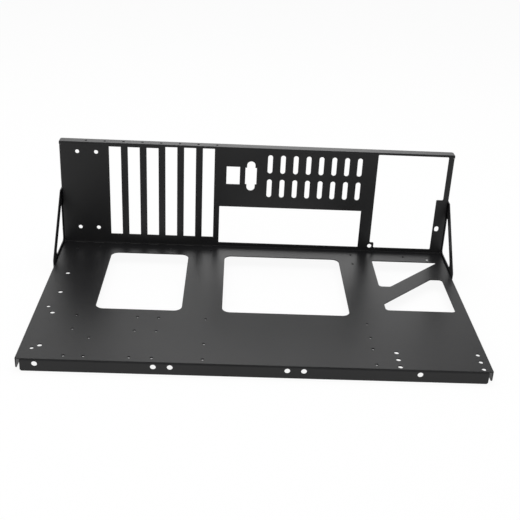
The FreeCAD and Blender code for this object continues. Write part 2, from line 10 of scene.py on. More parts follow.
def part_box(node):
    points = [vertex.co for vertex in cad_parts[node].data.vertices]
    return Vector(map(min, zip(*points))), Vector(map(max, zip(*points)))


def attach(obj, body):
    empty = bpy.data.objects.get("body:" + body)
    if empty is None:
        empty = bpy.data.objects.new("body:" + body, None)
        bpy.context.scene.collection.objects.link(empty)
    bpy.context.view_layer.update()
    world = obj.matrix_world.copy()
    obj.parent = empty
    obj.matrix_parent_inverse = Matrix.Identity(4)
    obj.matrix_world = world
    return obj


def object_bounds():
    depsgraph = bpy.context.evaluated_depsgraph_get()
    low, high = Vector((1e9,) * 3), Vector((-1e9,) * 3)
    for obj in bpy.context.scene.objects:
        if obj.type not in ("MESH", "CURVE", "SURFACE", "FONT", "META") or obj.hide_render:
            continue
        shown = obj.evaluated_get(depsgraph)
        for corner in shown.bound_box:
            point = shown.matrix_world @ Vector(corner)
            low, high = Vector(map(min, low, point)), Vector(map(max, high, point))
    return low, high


bl_info = {
    "name": "Motherboard Tray",
    "version": (1, 0, 0),
    "blender": (4, 5, 0),
    "location": "3D View > Sidebar > Tray",
    "description": "Coats a motherboard tray, adds its rivets, threads and welds, and sets up a stage",
    "category": "Object",
}

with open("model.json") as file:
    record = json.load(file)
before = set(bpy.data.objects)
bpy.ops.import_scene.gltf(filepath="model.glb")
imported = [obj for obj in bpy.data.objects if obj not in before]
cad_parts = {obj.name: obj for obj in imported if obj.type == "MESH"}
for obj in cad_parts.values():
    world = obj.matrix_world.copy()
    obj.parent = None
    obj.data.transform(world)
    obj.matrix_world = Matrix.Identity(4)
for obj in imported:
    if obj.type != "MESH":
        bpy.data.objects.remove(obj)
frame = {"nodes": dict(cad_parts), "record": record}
CAD_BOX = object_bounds()
BODY = "root"
TRAY = "tray_sheet"
# Each gusset's node, and its side of the tray along X.
GUSSETS = {"left": ("gusset_left", -1), "right": ("gusset_right", 1)}
BASE_TOP = 0.012
# Tapped holes of the base that belong to no bolt pattern, as x and y.
LONE_TAPS = [(0.1687, 0.1050), (-0.1970, 0.0997)]
MILLIMETRE = 0.001
# Sizes and heights that differ by less than this are the same.
SAME = 1e-6
QUARTER_TURN = math.radians(90)


# Shader helpers.


class Signal:
    """A shader socket that can be used in a sum: each operator adds one Math node."""

    def __init__(self, board, socket):
        self.board = board
        self.socket = socket

    def _math(self, operation, first, second):
        return self.board.node("ShaderNodeMath", {"operation": operation}, {0: first, 1: second})

    def __add__(self, other):
        return self._math("ADD", self, other)

    def __radd__(self, other):
        return self._math("ADD", other, self)

    def __sub__(self, other):
        return self._math("SUBTRACT", self, other)

    def __rsub__(self, other):
        return self._math("SUBTRACT", other, self)

    def __mul__(self, other):
        return self._math("MULTIPLY", self, other)

    def __rmul__(self, other):
        return self._math("MULTIPLY", other, self)

    def above(self, other):
        """The larger of this and another value."""
        return self._math("MAXIMUM", self, other)


class NodeBoard:
    """The node tree of a material or world, with one way of adding nodes."""

    def __init__(self, owner):
        owner.use_nodes = True
        self.owner = owner
        self.tree = owner.node_tree
        self.tree.nodes.clear()

    def node(self, kind, settings=None, sockets=None, out=0):
        """Adds a node: settings first, then its sockets' values or links; gives an output if it has one."""
        node = self.tree.nodes.new(kind)
        for name, value in (settings or {}).items():
            setattr(node, name, value)
        for key, value in (sockets or {}).items():
            if isinstance(value, Signal):
                self.tree.links.new(value.socket, node.inputs[key])
            else:
                node.inputs[key].default_value = value
        return Signal(self, node.outputs[out]) if len(node.outputs) else None

    def noise(self, waves, detail=2.0):
        """Smooth noise on the object's own coordinates, with so many waves to the metre."""
        place = self.node("ShaderNodeTexCoord", out="Object")
        return self.node("ShaderNodeTexNoise", {}, {"Vector": place, "Scale": waves, "Detail": detail})

    def ramp(self, value, low, high):
        """A value stretched so that low gives 0 and high gives 1, with ends held."""
        return self.node("ShaderNodeMapRange", {"interpolation_type": "SMOOTHSTEP"}, {
            "Value": value, "From Min": low, "From Max": high,
        })

    def fade(self, value, low, high):
        """The reverse of a ramp: low gives 1 and high gives 0."""
        return 1.0 - self.ramp(value, low, high)

    def blend(self, share, first, second):
        """Two colours mixed by a share."""
        return self.node("ShaderNodeMix", {"data_type": "RGBA"}, {0: share, 6: first, 7: second}, out=2)

    def surface(self, sockets):
        """Ends a material with a Principled surface that has these sockets, and gives the material."""
        shader = self.node("ShaderNodeBsdfPrincipled", {}, sockets)
        self.node("ShaderNodeOutputMaterial", {}, {"Surface": shader})
        return self.owner


def start_material(name):
    """The empty node board of a new material."""
    return NodeBoard(bpy.data.materials.new(name))


def solid_colour(rgb, gain=1.0):
    """A colour times a gain, with full alpha."""
    return (*(channel * gain for channel in rgb), 1.0)


# Object helpers.


def clear_selection():
    """Back to object mode with nothing selected."""
    if bpy.context.mode != "OBJECT":
        bpy.ops.object.mode_set(mode="OBJECT")
    bpy.ops.object.select_all(action="DESELECT")


def dress(obj, *materials):
    """Gives an object these materials in place of those it has."""
    obj.data.materials.clear()
    for material in materials:
        obj.data.materials.append(material)


def join_pieces(first, *others):
    """Joins pieces into the first of them."""
    clear_selection()
    for piece in (first, *others):
        piece.select_set(True)
    bpy.context.view_layer.objects.active = first
    bpy.ops.object.join()
    return bpy.context.object


def lay_copies(first, places):
    """Lays a piece at each of several places and joins the copies."""
    copies = [first]
    for _ in places[1:]:
        copy = first.copy()
        copy.data = first.data.copy()
        bpy.context.collection.objects.link(copy)
        copies.append(copy)
    for piece, place in zip(copies, places):
        piece.data.transform(Matrix.Translation(place))
    return join_pieces(*copies)


def draw_ring(step, grow, middle):
    """In edit mode, draws the selected ring on by a step and widens it about its new middle."""
    bpy.ops.mesh.extrude_region_move(TRANSFORM_OT_translate={"value": step})
    bpy.ops.transform.resize(value=(grow, grow, grow), center_override=middle)


def close_shell():
    """In edit mode, merges what meets, turns the faces outwards and goes back to object mode."""
    bpy.ops.mesh.select_all(action="SELECT")
    bpy.ops.mesh.remove_doubles(threshold=1e-7)
    bpy.ops.mesh.normals_make_consistent(inside=False)
    bpy.ops.object.mode_set(mode="OBJECT")
    bpy.ops.object.shade_smooth_by_angle(angle=math.radians(35))


def finish_piece(piece, name, *materials):
    """Names a new piece, gives it its materials and fixes it to the tray."""
    piece.name = name
    dress(piece, *materials)
    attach(piece, BODY)


def gusset_corners(node):
    """The lower and upper corner of a gusset's box."""
    return [Vector(corner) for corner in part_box(node)]


# Settings.


class TrayCoatSettings(bpy.types.PropertyGroup):
    """Powder coat of the sheet and gussets."""

    colour: bpy.props.FloatVectorProperty(
        name="Coat", description="Colour of the powder coat", subtype="COLOR", size=3, min=0.0, max=1.0,
        default=(0.0085, 0.0085, 0.0090))
    # Lighter colour of the cut edges: partly the thin coat there, partly a painted edge highlight.
    thin_coat_and_highlight_colour: bpy.props.FloatVectorProperty(
        name="Thin coat", description="Colour along cut edges, where the coat runs thin", subtype="COLOR",
        size=3, min=0.0, max=1.0, default=(0.030, 0.030, 0.031))
    gloss: bpy.props.FloatProperty(
        name="Roughness", description="Middle roughness of the coat", subtype="FACTOR", min=0.0, max=1.0,
        default=0.40)
    peel: bpy.props.FloatProperty(
        name="Orange peel", description="Width of the coat's soft ripples", unit="LENGTH", min=0.0002,
        default=0.0016)
    peel_depth: bpy.props.FloatProperty(
        name="Ripple depth", description="Height of the coat's soft ripples", unit="LENGTH", min=0.0,
        default=0.00001)
    grain: bpy.props.FloatProperty(
        name="Grain", description="Width of the fine powder grain", unit="LENGTH", min=0.00005,
        default=0.00035)
    edge: bpy.props.FloatProperty(
        name="Edge", description="Radius of the coated edges", unit="LENGTH", min=0.0, default=0.00045)


class TrayRivetSettings(bpy.types.PropertyGroup):
    """Blind rivets of the gussets."""

    head: bpy.props.FloatProperty(
        name="Head", description="Diameter of a rivet's head", unit="LENGTH", min=0.001, default=0.0065)
    rise: bpy.props.FloatProperty(
        name="Head height", description="Height of a rivet's head", unit="LENGTH", min=0.0002,
        default=0.0011)
    pin: bpy.props.FloatProperty(
        name="Pin", description="Diameter of the recess where the pin broke off", unit="LENGTH", min=0.0005,
        default=0.0018)
    tail: bpy.props.FloatProperty(
        name="Tail", description="Diameter of the bulged tail", unit="LENGTH", min=0.001, default=0.0048)
    tail_rise: bpy.props.FloatProperty(
        name="Tail length", description="Length of the bulged tail", unit="LENGTH", min=0.0005,
        default=0.0022)
    lap: bpy.props.FloatProperty(
        name="Lap", description="Overlap of a gusset on the flanges", unit="LENGTH", min=0.0, default=0.0104)
    inset: bpy.props.FloatProperty(
        name="Inset", description="Rivet lines, in from the panel's face and the base's top", unit="LENGTH",
        min=0.0, default=0.0058)
    panel_rivets: bpy.props.FloatVectorProperty(
        name="Panel rivets", description="Heights of the panel's rivets above the base's top",
        unit="LENGTH", size=2, min=0.0, default=(0.013, 0.050))
    base_rivets: bpy.props.FloatVectorProperty(
        name="Base rivets", description="Distances of the base's rivets from the panel's face",
        unit="LENGTH", size=2, min=0.0, default=(0.014, 0.049))
    gauge: bpy.props.FloatProperty(
        name="Sheet", description="Thickness of the flange under a gusset", unit="LENGTH", min=0.0002,
        default=0.001)
    colour: bpy.props.FloatVectorProperty(
        name="Rivet", description="Colour of the rivets", subtype="COLOR", size=3, min=0.0, max=1.0,
        default=(0.024, 0.024, 0.025))
    pin_colour: bpy.props.FloatVectorProperty(
        name="Broken pin", description="Colour of the broken pin", subtype="COLOR", size=3, min=0.0, max=1.0,
        default=(0.34, 0.34, 0.35))


class TrayTapSettings(bpy.types.PropertyGroup):
    """Threads of the tapped holes, and the collars drawn down round those of the base."""

    bore: bpy.props.FloatProperty(
        name="Bore", description="Diameter of a tapped hole before its thread", unit="LENGTH", min=0.001,
        default=0.0029)
    pitch: bpy.props.FloatProperty(
        name="Pitch", description="Rise of the thread in one turn", unit="LENGTH", min=0.0002,
        default=0.0005)
    crest: bpy.props.FloatProperty(
        name="Crest", description="Height of the thread above the bore's wall", unit="LENGTH", min=0.00005,
        default=0.00023)
    turns: bpy.props.IntProperty(
        name="Turns", description="Turns of thread in a collared hole", min=1, default=2)
    lead: bpy.props.FloatProperty(
        name="Lead", description="Start of the thread above a collar's end", unit="LENGTH", min=0.0,
        default=0.00025)
    collar: bpy.props.FloatProperty(
        name="Collar", description="Outside diameter of a collar", unit="LENGTH", min=0.001, default=0.0046)
    depth: bpy.props.FloatProperty(
        name="Collar depth", description="Depth of a collar below the base", unit="LENGTH", min=0.0002,
        default=0.0005)
    lip: bpy.props.FloatProperty(
        name="Lip", description="Bevel at a collar's end", unit="LENGTH", min=0.0, default=0.0001)
    flare: bpy.props.FloatProperty(
        name="Flare", description="Spread of a collar where it meets the sheet", unit="LENGTH", min=0.0,
        default=0.0007)
    steel: bpy.props.FloatVectorProperty(
        name="Thread", description="Colour of the bare thread", subtype="COLOR", size=3, min=0.0, max=1.0,
        default=(0.30, 0.30, 0.305))


class TrayWeldSettings(bpy.types.PropertyGroup):
    """Weld beads that close the corners at the ends of the fold between base and panel."""

    width: bpy.props.FloatProperty(
        name="Bead", description="Width of a bead between the fold and the gusset", unit="LENGTH",
        min=0.0005, default=0.0022)
    rise: bpy.props.FloatProperty(
        name="Bead height", description="Height of a bead across its corner", unit="LENGTH", min=0.0003,
        default=0.0015)
    length: bpy.props.FloatProperty(
        name="Bead length", description="Length of a bead from flange to flange", unit="LENGTH", min=0.001,
        default=0.0046)
    ripples: bpy.props.IntProperty(
        name="Ripples", description="Ripples along a bead", min=1, default=6)


class TrayStageSettings(bpy.types.PropertyGroup):
    """Floor, light and camera."""

    floor: bpy.props.FloatVectorProperty(
        name="Floor", description="Colour of the floor", subtype="COLOR", size=3, min=0.0, max=1.0,
        default=(0.86, 0.86, 0.86))
    floor_white: bpy.props.FloatProperty(
        name="White floor", description="Share of plain white in the floor as it is seen", subtype="FACTOR",
        min=0.0, max=1.0, default=0.92)
    floor_mirrored: bpy.props.FloatProperty(
        name="Mirrored floor", description="Brightness of the floor in reflections", min=0.0, default=0.62)
    sky: bpy.props.FloatProperty(
        name="Surroundings", description="Strength of the light from all round", min=0.0, default=0.55)
    backdrop: bpy.props.FloatProperty(
        name="Backdrop", description="Brightness of the backdrop in reflections", min=0.0, default=2.1)
    walls: bpy.props.FloatProperty(
        name="Walls", description="Brightness of the other walls in reflections", min=0.0, default=0.55)
    ceiling: bpy.props.FloatProperty(
        name="Ceiling", description="Brightness of the room overhead and in front, in reflections", min=0.0,
        default=0.12)
    overhead: bpy.props.FloatProperty(
        name="Overhead lamp", description="Strength of the large lamp above", unit="POWER", min=0.0,
        default=14.0)
    front: bpy.props.FloatProperty(
        name="Front lamp", description="Strength of the lamp at the front left", unit="POWER", min=0.0,
        default=5.0)
    camera_place: bpy.props.FloatVectorProperty(
        name="Camera", description="Place of the camera", subtype="TRANSLATION", unit="LENGTH", size=3,
        default=(-0.02592, -0.80298, 0.44649))
    azimuth: bpy.props.FloatProperty(
        name="Azimuth", description="Camera's turn to the right", subtype="ANGLE",
        default=math.radians(2.084))
    elevation: bpy.props.FloatProperty(
        name="Elevation", description="Camera's tilt down", subtype="ANGLE", default=math.radians(26.051))
    roll: bpy.props.FloatProperty(
        name="Roll", description="Camera's lean", subtype="ANGLE", default=math.radians(2.825))
    lens: bpy.props.FloatProperty(
        name="Lens", description="Focal length on a 36 mm frame", min=10.0, default=61.83)


# Finishes.

# Patterns of the powder coat, in waves to the metre.
CLOUD_WAVES = 11.0
SWEEP_WAVES = 38.0
SPECK_WAVES = 620.0
# How far each pattern moves the coat's roughness.
CLOUD_SWING = 0.08
SWEEP_SWING = 0.03
GRAIN_SWING = 0.04
SPECK_SWING = 0.06
# Middle of a noise pattern, which runs from 0 to 1.
NOISE_MIDDLE = 0.5
# The coat's colour is lifted by these gains in its clouds and specks, and a speck shows by a share.
CLOUD_GAIN = 1.30
SPECK_GAIN = 2.0
SPECK_SHARE = 0.25
# Height of the grain, as a share of the ripples' height.
GRAIN_RISE = 0.10


def make_coat(name, settings, roughness_shift=0.0):
    """Semi-gloss black powder coat: soft ripples, fine grain, uneven gloss, and cut edges painted lighter,
    partly for the thin coat there and partly as a painted edge highlight.
    """
    board = start_material(name)
    cloud = board.noise(CLOUD_WAVES, detail=3.0)
    sweep = board.noise(SWEEP_WAVES)
    ripple = board.noise(1.0 / settings.peel, detail=1.5)
    grain = board.noise(1.0 / settings.grain, detail=1.0)
    speck = board.ramp(board.noise(SPECK_WAVES, detail=0.0), low=0.72, high=0.80)

    edge_normal = board.node("ShaderNodeBevel", {"samples": 4}, {"Radius": settings.edge})
    true_normal = board.node("ShaderNodeNewGeometry", out="Normal")
    facing = board.node(
        "ShaderNodeVectorMath", {"operation": "DOT_PRODUCT"}, {0: edge_normal, 1: true_normal}, out="Value")
    # Mask of the cut edges that are painted lighter, partly for thin coat and partly as a painted edge
    # highlight, broken up at random.
    uneven = 0.45 + 0.4 * sweep
    thin = board.ramp(1.0 - facing, low=0.02, high=0.30) * uneven

    coat, lifted = solid_colour(settings.colour), solid_colour(settings.colour, CLOUD_GAIN)
    tone = board.blend(board.ramp(cloud, low=0.30, high=0.70), coat, lifted)
    tone = board.blend(SPECK_SHARE * speck, tone, solid_colour(settings.colour, SPECK_GAIN))
    # Painted edge highlight, partly real thin coat: the cut edges are lifted towards the lighter colour.
    tone = board.blend(thin, tone, solid_colour(settings.thin_coat_and_highlight_colour))

    middle_swing = NOISE_MIDDLE * (CLOUD_SWING + SWEEP_SWING + GRAIN_SWING)
    roughness = settings.gloss + roughness_shift - middle_swing + CLOUD_SWING * cloud + SWEEP_SWING * sweep
    roughness = roughness + GRAIN_SWING * grain + SPECK_SWING * speck
    height = ripple + GRAIN_RISE * grain
    normal = board.node("ShaderNodeBump", {}, {
        "Strength": 0.55, "Distance": settings.peel_depth, "Height": height, "Normal": edge_normal,
    })
    return board.surface({"Base Color": tone, "Roughness": roughness, "Normal": normal, "IOR": 1.5})


def make_rivet_coat(settings):
    """Satin black rivet metal with drawn, slightly rubbed domes."""
    board = start_material("rivet_black")
    rub = board.ramp(board.noise(waves=900.0, detail=3.0), low=0.55, high=0.75)
    rubbed = solid_colour(settings.colour, gain=3.0)
    tone = board.blend(0.35 * rub, solid_colour(settings.colour), rubbed)
    roughness = 0.30 + 0.12 * board.noise(waves=2400.0)
    normal = board.node("ShaderNodeBump", {}, {
        "Strength": 0.4, "Distance": 0.00001, "Height": board.noise(waves=3000.0),
    })
    return board.surface({"Base Color": tone, "Roughness": roughness, "Normal": normal, "Metallic": 0.3})


def make_pin_steel(settings):
    """Bare, torn steel of a broken rivet pin."""
    board = start_material("pin_steel")
    torn = board.noise(waves=5200.0, detail=4.0)
    tone = board.blend(torn, solid_colour(settings.pin_colour, gain=0.6), solid_colour(settings.pin_colour))
    roughness = 0.32 + 0.25 * torn
    normal = board.node("ShaderNodeBump", {}, {"Strength": 0.8, "Distance": 0.00004, "Height": torn})
    return board.surface({"Base Color": tone, "Roughness": roughness, "Normal": normal, "Metallic": 1.0})


def make_thread_steel(settings):
    """Bare steel of a thread that was cut after coating, dulled by powder in its grooves."""
    board = start_material("thread_steel")
    dull = board.ramp(board.noise(waves=2600.0, detail=3.0), low=0.35, high=0.65)
    tone = board.blend(dull, solid_colour(settings.steel), solid_colour(settings.steel, gain=0.35))
    roughness = 0.34 + 0.22 * dull
    return board.surface({"Base Color": tone, "Roughness": roughness, "Metallic": 1.0 - 0.5 * dull})


class TRAY_OT_coat_sheet(bpy.types.Operator):
    """Coats the folded sheet"""

    bl_idname = "tray.coat_sheet"
    bl_label = "Coat Sheet"

    def execute(self, context):
        dress(frame["nodes"][TRAY], make_coat("powder_coat_sheet", context.scene.tray_coat))
        return {"FINISHED"}


class TRAY_OT_coat_gussets(bpy.types.Operator):
    """Coats the two gussets"""

    bl_idname = "tray.coat_gussets"
    bl_label = "Coat Gussets"

    def execute(self, context):
        coat = make_coat("powder_coat_gusset", context.scene.tray_coat, roughness_shift=0.02)
        for node, _ in GUSSETS.values():
            dress(frame["nodes"][node], coat)
        return {"FINISHED"}


# Rivets.

# A head and a tail stand on a straight foot, a share of their height. Steps then draw them in and up, as
# shares of the radius and of the height.
FOOT_SHARE = 0.35
HEAD_STEPS = [(0.10, 0.26), (0.16, 0.22), (0.20, 0.12), (0.12, 0.05)]
TAIL_STEPS = [(0.06, 0.30), (0.20, 0.24), (0.30, 0.11)]
# Depth of the pin's recess and rise of the pin in it, as shares of the head's height.
RECESS_DEPTH = 0.45
PIN_RISE = 0.12
# Slope round the broken pin, as a share of its radius.
PIN_SLOPE = 0.18
# The broken pin's faces lie within this share of the recess's radius.
PIN_REACH = 0.99
# Part of a face's normal along Z from which it is a button's top, or the pin's.
TOP_RISE = 0.9
PIN_FACE_RISE = 0.2
# Widths of the soft edges.
HEAD_EDGE = 0.00006
TAIL_EDGE = 0.0001


def pick_faces(mesh, test):
    """In edit mode, selects only the faces that pass a test."""
    bpy.ops.mesh.select_all(action="DESELECT")
    bpy.ops.object.mode_set(mode="OBJECT")
    for face in mesh.polygons:
        face.select = test(face)
    bpy.ops.object.mode_set(mode="EDIT")


def soften(piece, width):
    """Rounds a piece's sharp edges and smooths its shading."""
    clear_selection()
    piece.select_set(True)
    bpy.context.view_layer.objects.active = piece
    bevel = piece.modifiers.new("soft_edges", "BEVEL")
    bevel.width = width
    bevel.segments = 2
    bevel.limit_method = "ANGLE"
    bevel.angle_limit = math.radians(35)
    bpy.ops.object.modifier_apply(modifier=bevel.name)
    bpy.ops.object.shade_smooth_by_angle(angle=math.radians(30))


def turn_to(piece, side, x):
    """Turns a piece that points up so that it points along +X or -X, and seats its foot at x."""
    turn = Matrix.Rotation(QUARTER_TURN * side, 4, "Y")
    piece.data.transform(Matrix.Translation((x, 0, 0)) @ turn)
    piece.data.update()


def model_button(name, diameter, rise, steps):
    """A round button on the ground: a disc whose top is drawn in and up, step by step, left in edit mode."""
    clear_selection()
    foot = rise * FOOT_SHARE
    bpy.ops.mesh.primitive_cylinder_add(
        vertices=40, radius=diameter / 2, depth=foot, location=(0, 0, foot / 2))
    bpy.ops.object.transform_apply(location=True, rotation=False, scale=False)
    button = bpy.context.object
    button.name = name
    bpy.ops.object.mode_set(mode="EDIT")
    bpy.ops.mesh.select_mode(type="FACE")
    pick_faces(button.data, lambda face: face.normal.z > TOP_RISE)
    for draw_in, lift in steps:
        bpy.ops.mesh.inset(thickness=draw_in * diameter / 2)
        bpy.ops.transform.translate(value=(0, 0, lift * rise))
    return button


def model_head(settings):
    """A domed rivet head with the broken pin in its recess, pointing up."""
    head = model_button("rivet_head", settings.head, settings.rise, HEAD_STEPS)
    pin = settings.pin / 2
    crown = settings.head / 2 * (1 - sum(draw_in for draw_in, _ in HEAD_STEPS))
    bpy.ops.mesh.inset(thickness=crown - pin)
    bpy.ops.mesh.extrude_region_move(TRANSFORM_OT_translate={"value": (0, 0, -RECESS_DEPTH * settings.rise)})
    bpy.ops.mesh.inset(thickness=pin * PIN_SLOPE)
    bpy.ops.transform.translate(value=(0, 0, PIN_RISE * settings.rise))
    bpy.ops.object.mode_set(mode="OBJECT")
    for face in head.data.polygons:
        reach = max(math.hypot(*head.data.vertices[v].co.xy) for v in face.vertices)
        face.material_index = 1 if reach < pin * PIN_REACH and face.normal.z > PIN_FACE_RISE else 0
    soften(head, HEAD_EDGE)
    return head


def model_rivet(settings, side, head_seat, tail_seat):
    """One rivet along +X or -X: its head outside the gusset, and a bulged tail inside the flange."""
    head = model_head(settings)
    tail = model_button("rivet_tail", settings.tail, settings.tail_rise, TAIL_STEPS)
    bpy.ops.object.mode_set(mode="OBJECT")
    soften(tail, TAIL_EDGE)
    turn_to(head, side, head_seat)
    turn_to(tail, -side, tail_seat)
    return join_pieces(head, tail)


def rivet_places(low, high, settings):
    """Places of the rivets of a gusset, from the gusset's own box."""
    panel, base = high.y - settings.lap, low.z + settings.lap
    upright = [(0, panel + settings.inset, base + height) for height in settings.panel_rivets]
    level = [(0, panel - distance, base - settings.inset) for distance in settings.base_rivets]
    return upright + level


class TRAY_OT_add_rivets(bpy.types.Operator):
    """Rivets each gusset to the flanges of the panel and the base"""

    bl_idname = "tray.add_rivets"
    bl_label = "Add Rivets"

    def execute(self, context):
        settings = context.scene.tray_rivets
        materials = [make_rivet_coat(settings), make_pin_steel(settings)]
        for name, (node, side) in GUSSETS.items():
            finish_piece(self.rivet_gusset(settings, node, side), f"gusset_rivets_{name}", *materials)
        return {"FINISHED"}

    def rivet_gusset(self, settings, node, side):
        """The four rivets of one gusset, as one piece."""
        low, high = gusset_corners(node)
        inside, outside = (low.x, high.x) if side > 0 else (high.x, low.x)
        rivet = model_rivet(settings, side, outside, inside - side * settings.gauge)
        return lay_copies(rivet, rivet_places(low, high, settings))


# Tapped holes.

# The middle of a thread's ridge stands clear of the bore's wall by this share of the ridge's radius.
RIDGE_CLEAR = 0.4
# How a collar spreads into the sheet: shares of its flare, each with the share of its depth that is left.
COLLAR_SPREAD = [(0.0, 0.50), (0.2, 0.25), (0.6, 0.06), (1.0, 0.0)]


def tapped_places(height, bore):
    """Places of the tapped holes at one height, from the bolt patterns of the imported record."""
    places = set()
    for mount in frame["record"]["mounts"]:
        dims = mount["dims"]
        radius = dims.get("hole_r_mm", 0.0) * MILLIMETRE
        x, y, z = mount["pos_m"]
        if abs(radius - bore / 2) > SAME or abs(z - height) > SAME:
            continue
        half_x, half_y = (dims.get(f"spacing_{axis}_mm", 0.0) * MILLIMETRE / 2 for axis in "xy")
        for across in (-half_x, half_x):
            for along in (-half_y, half_y):
                places.add((round(x + across, 6), round(y + along, 6), height))
    return sorted(places)


def model_collar(settings, gauge):
    """A collar that hangs from the sheet: rings drawn out one from the next, and closed on the first."""
    bore, outside, lip = settings.bore / 2, settings.collar / 2, settings.lip
    end = -gauge - settings.depth
    rings = [
        (bore, -gauge), (bore, end + lip), (bore + lip, end), (outside - lip, end), (outside, end + lip),
    ]
    for spread, left in COLLAR_SPREAD:
        rings.append((outside + spread * settings.flare, -gauge - left * settings.depth))
    rings.append(rings[0])

    clear_selection()
    bpy.ops.mesh.primitive_circle_add(vertices=32, radius=bore, location=(0, 0, -gauge))
    bpy.ops.object.transform_apply(location=True, rotation=False, scale=False)
    collar = bpy.context.object
    bpy.ops.object.mode_set(mode="EDIT")
    bpy.ops.mesh.select_mode(type="VERT")
    bpy.ops.mesh.select_all(action="SELECT")
    for (radius, height), (next_radius, next_height) in zip(rings, rings[1:]):
        draw_ring((0, 0, next_height - height), next_radius / radius, (0, 0, next_height))
    close_shell()
    return collar


def model_thread(settings, turns, foot):
    """A helical ridge that stands out of the bore's wall, from a triangle drawn round and up."""
    ridge = settings.crest / (1.0 + RIDGE_CLEAR)
    clear_selection()
    bpy.ops.mesh.primitive_circle_add(
        vertices=3, radius=ridge, location=(settings.bore / 2 - RIDGE_CLEAR * ridge, 0, foot),
        rotation=(QUARTER_TURN, -QUARTER_TURN, 0))
    bpy.ops.object.transform_apply(location=True, rotation=True, scale=False)
    thread = bpy.context.object
    screw = thread.modifiers.new("turns", "SCREW")
    screw.steps = screw.render_steps = 22
    screw.screw_offset = settings.pitch
    screw.iterations = turns
    bpy.ops.object.modifier_apply(modifier=screw.name)
    bpy.ops.object.mode_set(mode="EDIT")
    bpy.ops.mesh.select_all(action="SELECT")
    bpy.ops.mesh.fill_holes(sides=3)
    close_shell()
    for face in thread.data.polygons:
        face.material_index = 1
    return thread


class TRAY_OT_cut_threads(bpy.types.Operator):
    """Threads the tapped holes, and draws collars below those of the base"""

    bl_idname = "tray.cut_threads"
    bl_label = "Cut Threads"

    def execute(self, context):
        settings = context.scene.tray_taps
        gauge = context.scene.tray_rivets.gauge
        materials = [make_coat("powder_coat_collar", context.scene.tray_coat), make_thread_steel(settings)]

        thread = model_thread(settings, settings.turns, -gauge - settings.depth + settings.lead)
        collar = model_collar(settings, gauge)
        places = tapped_places(BASE_TOP, settings.bore) + [(x, y, BASE_TOP) for x, y in LONE_TAPS]
        finish_piece(lay_copies(join_pieces(collar, thread), places), "tapped_collars", *materials)

        turn = model_thread(settings, 1, -gauge / 2 - settings.pitch / 2)
        row = lay_copies(turn, tapped_places(CAD_BOX[1][2], settings.bore))
        finish_piece(row, "bracket_threads", *materials)
        return {"FINISHED"}


# Corner welds.

# A bead's tapered end as a share of its length.
TAPER_SHARE = 0.12
# Rings of a taper and of a ripple: the place along it, and the share of the bead's full thickness.
TAPER_RINGS = [(0.0, 0.30), (0.3, 0.75)]
RIPPLE_RINGS = [(0.0, 0.95), (0.6, 1.04)]
# A bead's middle stands off the gusset by a share of its width.
WELD_SEAT = 0.42
# A bead's middle, in front of the panel's face and above the base's top.
WELD_AHEAD = 0.0005
WELD_ABOVE = 0.0004


def weld_rings(settings):
    """The rings of a bead from end to end: place from its middle, and share of its full thickness."""
    half, taper = settings.length / 2, TAPER_SHARE * settings.length
    pitch = (settings.length - 2 * taper) / settings.ripples
    end = [(-half + place * taper, share) for place, share in TAPER_RINGS]
    rings = list(end)
    for ripple in range(settings.ripples):
        start = -half + taper + ripple * pitch
        rings += [(start + place * pitch, share) for place, share in RIPPLE_RINGS]
    rings.append((half - taper, RIPPLE_RINGS[0][1]))
    return rings + [(-along, share) for along, share in reversed(end)]


def model_weld(settings, middle):
    """A rippled bead drawn ring by ring up the slope from the base's flange to the panel's."""
    slope = Vector((0.0, 1.0, 1.0)).normalized()
    rings = weld_rings(settings)
    first, first_share = rings[0]
    place = middle + slope * first
    clear_selection()
    bpy.ops.mesh.primitive_circle_add(
        vertices=16, radius=first_share * settings.rise / 2, fill_type="NGON", location=place,
        rotation=(-QUARTER_TURN / 2, 0, 0))
    bpy.ops.object.transform_apply(location=True, rotation=True, scale=False)
    bead = bpy.context.object
    bpy.ops.object.mode_set(mode="EDIT")
    bpy.ops.mesh.select_mode(type="FACE")
    bpy.ops.mesh.select_all(action="SELECT")
    bpy.ops.transform.resize(value=(settings.width / settings.rise, 1.0, 1.0), center_override=place)
    for (along, share), (next_along, next_share) in zip(rings, rings[1:]):
        draw_ring(slope * (next_along - along), next_share / share, middle + slope * next_along)
    close_shell()
    return bead


class TRAY_OT_weld_corners(bpy.types.Operator):
    """Closes the corners at the ends of the fold between base and panel"""

    bl_idname = "tray.weld_corners"
    bl_label = "Weld Corners"

    def execute(self, context):
        settings = context.scene.tray_welds
        lap = context.scene.tray_rivets.lap
        coat = make_coat("powder_coat_weld", context.scene.tray_coat, roughness_shift=0.04)
        for name, (node, side) in GUSSETS.items():
            low, high = gusset_corners(node)
            inside = low.x if side > 0 else high.x
            across = inside - side * WELD_SEAT * settings.width
            middle = Vector((across, high.y - lap - WELD_AHEAD, low.z + lap + WELD_ABOVE))
            finish_piece(model_weld(settings, middle), f"corner_weld_{name}", coat)
        return {"FINISHED"}


# Stage.

FLOOR_SIZE = 8.0
# The floor lies this far below the tray's flanges, so that the two don't share a plane.
FLOOR_GAP = 0.0003
# Width of the camera's frame, in millimetres.
FILM_WIDTH = 36.0
OVERHEAD_LAMP = {"place": (0.0, 0.25, 1.35), "target": (0.0, 0.0, 0.0), "size": 1.3}
FRONT_LAMP = {"place": (-0.9, -1.3, 1.0), "target": (0.0, 0.0, 0.05), "size": 0.9}

# The room in reflections. A direction has a part across, ahead and up, and each pair is where a part of the
# room begins and is full, or where it begins to fade and is gone.
BACKDROP_AHEAD = (-0.1, 0.5)
BACKDROP_HEAD = (0.45, 0.88)
